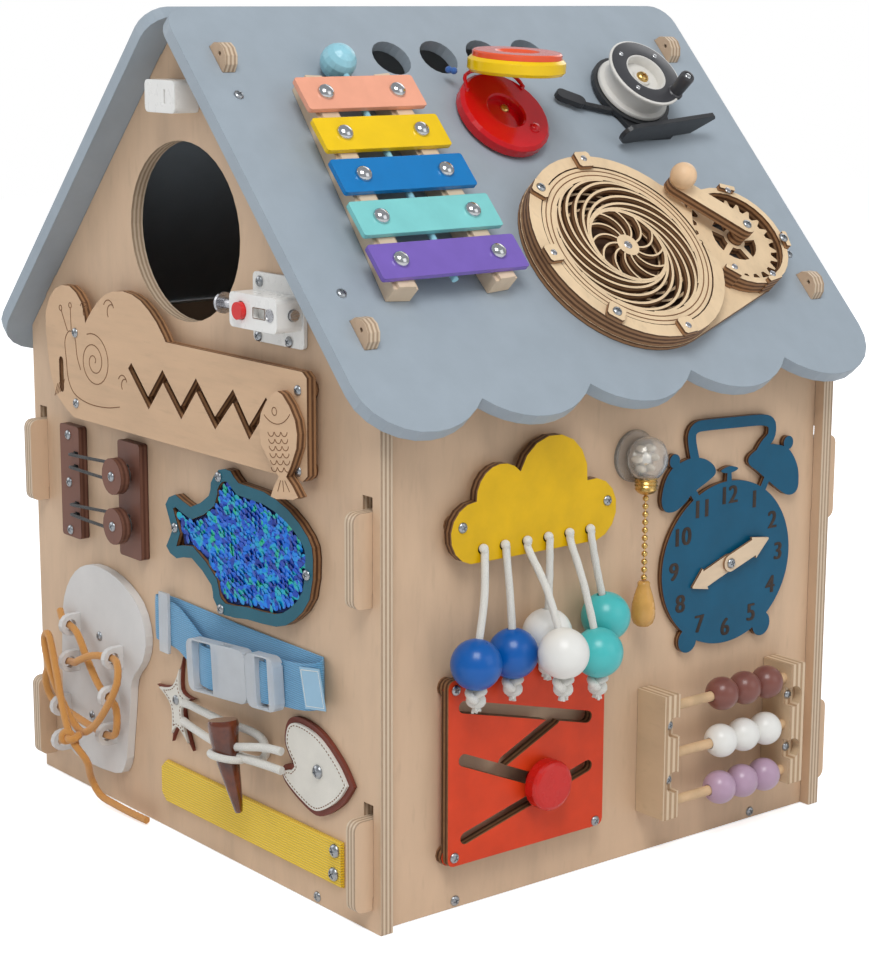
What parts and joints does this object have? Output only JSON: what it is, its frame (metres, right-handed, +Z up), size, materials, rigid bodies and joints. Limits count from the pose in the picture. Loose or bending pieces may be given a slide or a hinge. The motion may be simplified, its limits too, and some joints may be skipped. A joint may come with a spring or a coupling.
{
  "type": "activity house",
  "caption": "Plywood play house with learning toys on gable, wall and roof: gears, xylophone, castanet, reel, latch, buckle, laces, beads, clock, maze and abacus.",
  "frame": {"origin": "middle of the house's base, on the underside of the floor panel", "axes": "+Z up, -Y out of the gable with the window, +X out of the wall with the clock"},
  "size_m": [0.4346, 0.3966, 0.4875],
  "materials": {
    "birch_ply": "clear varnish",
    "roof_paint": "grey-blue paint",
    "rail_white": "white paint with felt strip",
    "brown_ply": "brown stain",
    "chime_coral": "gloss paint",
    "chime_yellow": "gloss paint",
    "chime_blue": "gloss paint",
    "chime_turquoise": "gloss paint",
    "chime_purple": "gloss paint",
    "mallet_blue": "gloss paint",
    "castanet_red": "gloss paint",
    "castanet_yellow": "gloss paint",
    "reel_black": "satin black",
    "reel_white": "satin white",
    "laser_ply": "bare with burnt edges",
    "latch_white": "gloss white",
    "latch_red": "gloss red",
    "steel": "brushed",
    "elastic_black": "braided elastic",
    "fish_teal": "satin paint",
    "sequins": "blue and green flip sequins",
    "sole_foam": "light grey foam",
    "lace_tan": "woven cord",
    "strap_blue": "woven webbing",
    "buckle_clear": "frosted translucent",
    "patch_cream": "cream with brown edge",
    "horn_brown": "glossy brown",
    "strap_yellow": "looped pile",
    "cloud_yellow": "satin paint",
    "bead_blue": "satin paint",
    "bead_white": "satin paint",
    "bead_turquoise": "satin paint",
    "lamp_clear": "clear with brass collar",
    "pull_wood": "tan gloss",
    "clock_teal": "satin paint",
    "maze_orange": "satin paint",
    "knob_red": "gloss paint",
    "abacus_wood": "bare",
    "bead_mauve": "satin paint",
    "bead_lilac": "satin paint"
  },
  "bodies": {
    "house": {"front_gable": "birch_ply", "rear_gable": "birch_ply", "right_wall": "birch_ply", "left_wall": "birch_ply", "floor_panel": "birch_ply", "right_roof": "roof_paint", "left_roof": "roof_paint", "rail_left": "rail_white", "rail_right": "rail_white", "chime_1": "chime_coral", "chime_2": "chime_yellow", "chime_3": "chime_blue", "chime_4": "chime_turquoise", "chime_5": "chime_purple", "castanet_base": "castanet_red", "reel_frame": "reel_black", "gear_casing": "laser_ply", "latch_housing": "latch_white", "ridge_catch": "latch_white", "zigzag_panel": "birch_ply", "peg_bar": "brown_ply", "knob_bar": "brown_ply", "elastic_cord": "elastic_black", "fish_frame": "fish_teal", "sequin_pad": "sequins", "lacing_sole": "sole_foam", "shoe_lace": "lace_tan", "blue_strap": "strap_blue", "buckle_socket": "buckle_clear", "star_patch": "patch_cream", "heart_patch": "patch_cream", "toggle_horn": "horn_brown", "yellow_strap": "strap_yellow", "cloud_panel": "cloud_yellow", "lamp": "lamp_clear", "clock_dial": "clock_teal", "maze_panel": "maze_orange", "abacus_frame": "abacus_wood"},
    "mallet": {"mallet": "mallet_blue"},
    "castanet_clapper": {"castanet_clapper": "castanet_yellow"},
    "reel_spool": {"reel_spool": "reel_white"},
    "spiral_wheel": {"spiral_wheel": "laser_ply"},
    "crank_gear": {"crank_gear": "laser_ply"},
    "latch_bolt": {"latch_bolt": "steel"},
    "latch_button": {"latch_button": "latch_red"},
    "fish_slider": {"fish_slider": "birch_ply"},
    "buckle_plug": {"buckle_plug": "buckle_clear"},
    "drop_blue_left": {"drop_blue_left": "bead_blue"},
    "drop_blue_right": {"drop_blue_right": "bead_blue"},
    "drop_white_front": {"drop_white_front": "bead_white"},
    "drop_white_back": {"drop_white_back": "bead_white"},
    "drop_turquoise_low": {"drop_turquoise_low": "bead_turquoise"},
    "drop_turquoise_high": {"drop_turquoise_high": "bead_turquoise"},
    "lamp_pull": {"lamp_pull": "pull_wood"},
    "hour_hand": {"hour_hand": "laser_ply"},
    "minute_hand": {"minute_hand": "laser_ply"},
    "maze_knob": {"maze_knob": "knob_red"},
    "bead_row_1": {"bead_row_1": "bead_mauve"},
    "bead_row_2": {"bead_row_2": "bead_white"},
    "bead_row_3": {"bead_row_3": "bead_lilac"}
  },
  "joints": [
    {"name": "spiral_wheel_spin", "type": "hinge", "parent": "house", "child": "spiral_wheel", "pos_m": [0.13926, 0.0304, 0.34693], "axis": [0.7314, 0, 0.682], "continuous": true},
    {"name": "crank_gear_spin", "type": "hinge", "parent": "house", "child": "crank_gear", "pos_m": [0.13926, 0.1187, 0.34693], "axis": [0.7314, 0, 0.682], "continuous": true},
    {"name": "reel_spin", "type": "hinge", "parent": "house", "child": "reel_spool", "pos_m": [0.05831, 0.1123, 0.43374], "axis": [0.7314, 0, 0.682], "continuous": true},
    {"name": "castanet_swing", "type": "hinge", "parent": "house", "child": "castanet_clapper", "pos_m": [0.05631, 0.001, 0.45128], "axis": [0, 1, 0], "range_deg": [0, 42], "stiffness_Nm_per_rad": 0.05, "springref_deg": -17.19},
    {"name": "mallet_draw", "type": "slide", "parent": "house", "child": "mallet", "axis": [-0.682, 0, 0.7314], "range_m": [0, 0.15]},
    {"name": "bolt_slide", "type": "slide", "parent": "house", "child": "latch_bolt", "axis": [1, 0, 0], "range_m": [0, 0.014]},
    {"name": "button_press", "type": "slide", "parent": "house", "child": "latch_button", "axis": [0, 1, 0], "range_m": [0, 0.0025], "stiffness_N_per_m": 200, "springref_m": -0.0005},
    {"name": "fish_slide", "type": "slide", "parent": "house", "child": "fish_slider", "axis": [-0.6981, 0, 0.716], "range_m": [0, 0.017]},
    {"name": "buckle_plug_slide", "type": "slide", "parent": "house", "child": "buckle_plug", "axis": [0.9968, 0, 0.0802], "range_m": [0, 0.026], "deforming": ["blue_strap"]},
    {"name": "drop_blue_right_swing", "type": "hinge", "parent": "house", "child": "drop_blue_right", "pos_m": [0.1865, -0.0905, 0.2045], "axis": [0, -1, 0], "range_deg": [0, 40]},
    {"name": "drop_white_back_swing", "type": "hinge", "parent": "house", "child": "drop_white_back", "pos_m": [0.1865, -0.0595, 0.2045], "axis": [0, -1, 0], "range_deg": [0, 40]},
    {"name": "drop_turquoise_high_swing", "type": "hinge", "parent": "house", "child": "drop_turquoise_high", "pos_m": [0.1865, -0.0287, 0.2045], "axis": [0, -1, 0], "range_deg": [0, 40]},
    {"name": "drop_blue_left_swing", "type": "hinge", "parent": "drop_blue_right", "child": "drop_blue_left", "pos_m": [0.1865, -0.1057, 0.2045], "axis": [0, -1, 0], "range_deg": [0, 40]},
    {"name": "drop_white_front_swing", "type": "hinge", "parent": "drop_blue_right", "child": "drop_white_front", "pos_m": [0.1865, -0.0747, 0.2045], "axis": [0, -1, 0], "range_deg": [0, 40]},
    {"name": "drop_turquoise_low_swing", "type": "hinge", "parent": "drop_white_back", "child": "drop_turquoise_low", "pos_m": [0.1865, -0.0441, 0.2045], "axis": [0, -1, 0], "range_deg": [0, 40]},
    {"name": "lamp_pull_slide", "type": "slide", "parent": "house", "child": "lamp_pull", "axis": [0, 0, -1], "range_m": [0, 0.006], "stiffness_N_per_m": 200, "springref_m": -0.0008},
    {"name": "hour_hand_spin", "type": "hinge", "parent": "house", "child": "hour_hand", "pos_m": [0.178, 0.0875, 0.167], "axis": [1, 0, 0], "continuous": true},
    {"name": "minute_hand_spin", "type": "hinge", "parent": "house", "child": "minute_hand", "pos_m": [0.178, 0.0875, 0.167], "axis": [1, 0, 0], "continuous": true},
    {"name": "maze_knob_slide", "type": "slide", "parent": "house", "child": "maze_knob", "axis": [0, -0.9185, 0.3954], "range_m": [0, 0.0601]},
    {"name": "bead_row_1_slide", "type": "slide", "parent": "house", "child": "bead_row_1", "axis": [0, -1, 0], "range_m": [-0.004, 0.029]},
    {"name": "bead_row_2_slide", "type": "slide", "parent": "house", "child": "bead_row_2", "axis": [0, -1, 0], "range_m": [-0.004, 0.029]},
    {"name": "bead_row_3_slide", "type": "slide", "parent": "house", "child": "bead_row_3", "axis": [0, -1, 0], "range_m": [-0.004, 0.029]}
  ],
  "couplings": [
    {"joint": "crank_gear_spin", "follows": "spiral_wheel_spin", "ratio": -2.0833},
    {"joint": "drop_white_back_swing", "follows": "drop_blue_right_swing", "ratio": 1},
    {"joint": "drop_turquoise_high_swing", "follows": "drop_blue_right_swing", "ratio": 1}
  ]
}
